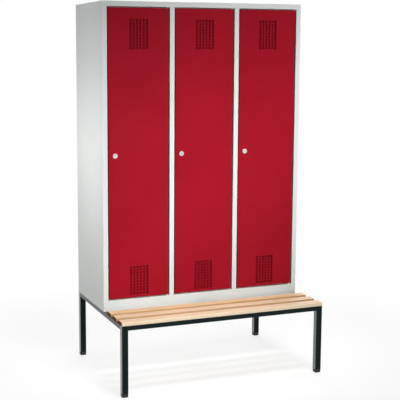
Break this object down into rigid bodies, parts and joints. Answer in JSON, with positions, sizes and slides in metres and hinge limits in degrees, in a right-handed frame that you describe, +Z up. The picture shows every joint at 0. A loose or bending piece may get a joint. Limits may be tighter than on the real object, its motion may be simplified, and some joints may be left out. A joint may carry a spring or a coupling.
{
  "type": "metal clothes locker with bench",
  "caption": "Steel clothes locker with inset hinged doors, air holes and cylinder locks, on a square-tube frame that carries a slatted wooden bench in front.",
  "frame": {"origin": "on the floor, in the middle of the footprint", "axes": "+Z up, +X to the right seen from the front, the doors and the bench face -Y"},
  "size_m": [1.2, 0.815, 2.09],
  "materials": {
    "carcass_paint": "light grey powder coat, satin",
    "door_paint": "ruby red powder coat, satin",
    "frame_paint": "black powder coat, semi-gloss",
    "bench_wood": "clear-lacquered beech",
    "lock_chrome": "nickel-plated, bright",
    "zinc_steel": "zinc-plated",
    "rail_steel": "chromed",
    "hook_plastic": "black moulded plastic",
    "bush_plastic": "white moulded plastic",
    "buffer_rubber": "soft dark rubber",
    "foot_plastic": "black moulded plastic"
  },
  "bodies": {
    "carcass": {"back_panel": "carcass_paint", "bench_bearer": "frame_paint", "carcass_bolts": "zinc_steel", "cross_rails": "frame_paint", "door_buffers": "buffer_rubber", "floor_panel": "carcass_paint", "foot_caps": "foot_plastic", "front_left_leg": "frame_paint", "front_rail": "frame_paint", "front_right_leg": "frame_paint", "front_slat": "bench_wood", "hinge_bushes": "bush_plastic", "left_clothes_rail": "rail_steel", "left_hat_shelf": "carcass_paint", "left_mid_stile": "carcass_paint", "left_partition": "carcass_paint", "left_side_panel": "carcass_paint", "left_side_rail": "frame_paint", "middle_clothes_rail": "rail_steel", "middle_hat_shelf": "carcass_paint", "middle_slat": "bench_wood", "rail_sockets": "hook_plastic", "rear_left_leg": "frame_paint", "rear_right_leg": "frame_paint", "rear_slat": "bench_wood", "right_clothes_rail": "rail_steel", "right_hat_shelf": "carcass_paint", "right_mid_stile": "carcass_paint", "right_partition": "carcass_paint", "right_side_panel": "carcass_paint", "right_side_rail": "frame_paint", "roof_panel": "carcass_paint", "slat_screws": "zinc_steel"},
    "left_door": {"left_door_panel": "door_paint", "left_door_channel": "door_paint", "left_door_pivots": "zinc_steel", "left_lock_housing": "lock_chrome"},
    "left_lock": {"left_lock_core": "lock_chrome", "left_lock_cam": "zinc_steel"},
    "middle_door": {"middle_door_panel": "door_paint", "middle_door_channel": "door_paint", "middle_door_pivots": "zinc_steel", "middle_lock_housing": "lock_chrome"},
    "middle_lock": {"middle_lock_core": "lock_chrome", "middle_lock_cam": "zinc_steel"},
    "right_door": {"right_door_panel": "door_paint", "right_door_channel": "door_paint", "right_door_pivots": "zinc_steel", "right_lock_housing": "lock_chrome"},
    "right_lock": {"right_lock_core": "lock_chrome", "right_lock_cam": "zinc_steel"},
    "left_hook_a": {"left_coat_hook_a": "hook_plastic"},
    "left_hook_b": {"left_coat_hook_b": "hook_plastic"},
    "left_hook_c": {"left_coat_hook_c": "hook_plastic"},
    "middle_hook_a": {"middle_coat_hook_a": "hook_plastic"},
    "middle_hook_b": {"middle_coat_hook_b": "hook_plastic"},
    "middle_hook_c": {"middle_coat_hook_c": "hook_plastic"},
    "right_hook_a": {"right_coat_hook_a": "hook_plastic"},
    "right_hook_b": {"right_coat_hook_b": "hook_plastic"},
    "right_hook_c": {"right_coat_hook_c": "hook_plastic"}
  },
  "joints": [
    {"name": "left_door_hinge", "type": "hinge", "parent": "carcass", "child": "left_door", "pos_m": [-0.22233, -0.0825, 0.45], "axis": [0, 0, 1], "range_deg": [0, 105]},
    {"name": "left_lock_turn", "type": "hinge", "parent": "left_door", "child": "left_lock", "pos_m": [-0.528, -0.0895, 1.256], "axis": [0, 1, 0], "range_deg": [0, 90]},
    {"name": "middle_door_hinge", "type": "hinge", "parent": "carcass", "child": "middle_door", "pos_m": [0.16833, -0.0825, 0.45], "axis": [0, 0, 1], "range_deg": [0, 105]},
    {"name": "middle_lock_turn", "type": "hinge", "parent": "middle_door", "child": "middle_lock", "pos_m": [-0.13733, -0.0895, 1.256], "axis": [0, 1, 0], "range_deg": [0, 90]},
    {"name": "right_door_hinge", "type": "hinge", "parent": "carcass", "child": "right_door", "pos_m": [0.559, -0.0825, 0.45], "axis": [0, 0, 1], "range_deg": [0, 105]},
    {"name": "right_lock_turn", "type": "hinge", "parent": "right_door", "child": "right_lock", "pos_m": [0.25333, -0.0895, 1.256], "axis": [0, 1, 0], "range_deg": [0, 90]},
    {"name": "left_hook_a_slide", "type": "slide", "parent": "carcass", "child": "left_hook_a", "axis": [1, 0, 0], "range_m": [-0.045, 0.045]},
    {"name": "left_hook_b_slide", "type": "slide", "parent": "carcass", "child": "left_hook_b", "axis": [1, 0, 0], "range_m": [-0.045, 0.045]},
    {"name": "left_hook_c_slide", "type": "slide", "parent": "carcass", "child": "left_hook_c", "axis": [1, 0, 0], "range_m": [-0.045, 0.045]},
    {"name": "middle_hook_a_slide", "type": "slide", "parent": "carcass", "child": "middle_hook_a", "axis": [1, 0, 0], "range_m": [-0.045, 0.045]},
    {"name": "middle_hook_b_slide", "type": "slide", "parent": "carcass", "child": "middle_hook_b", "axis": [1, 0, 0], "range_m": [-0.045, 0.045]},
    {"name": "middle_hook_c_slide", "type": "slide", "parent": "carcass", "child": "middle_hook_c", "axis": [1, 0, 0], "range_m": [-0.045, 0.045]},
    {"name": "right_hook_a_slide", "type": "slide", "parent": "carcass", "child": "right_hook_a", "axis": [1, 0, 0], "range_m": [-0.045, 0.045]},
    {"name": "right_hook_b_slide", "type": "slide", "parent": "carcass", "child": "right_hook_b", "axis": [1, 0, 0], "range_m": [-0.045, 0.045]},
    {"name": "right_hook_c_slide", "type": "slide", "parent": "carcass", "child": "right_hook_c", "axis": [1, 0, 0], "range_m": [-0.045, 0.045]}
  ]
}
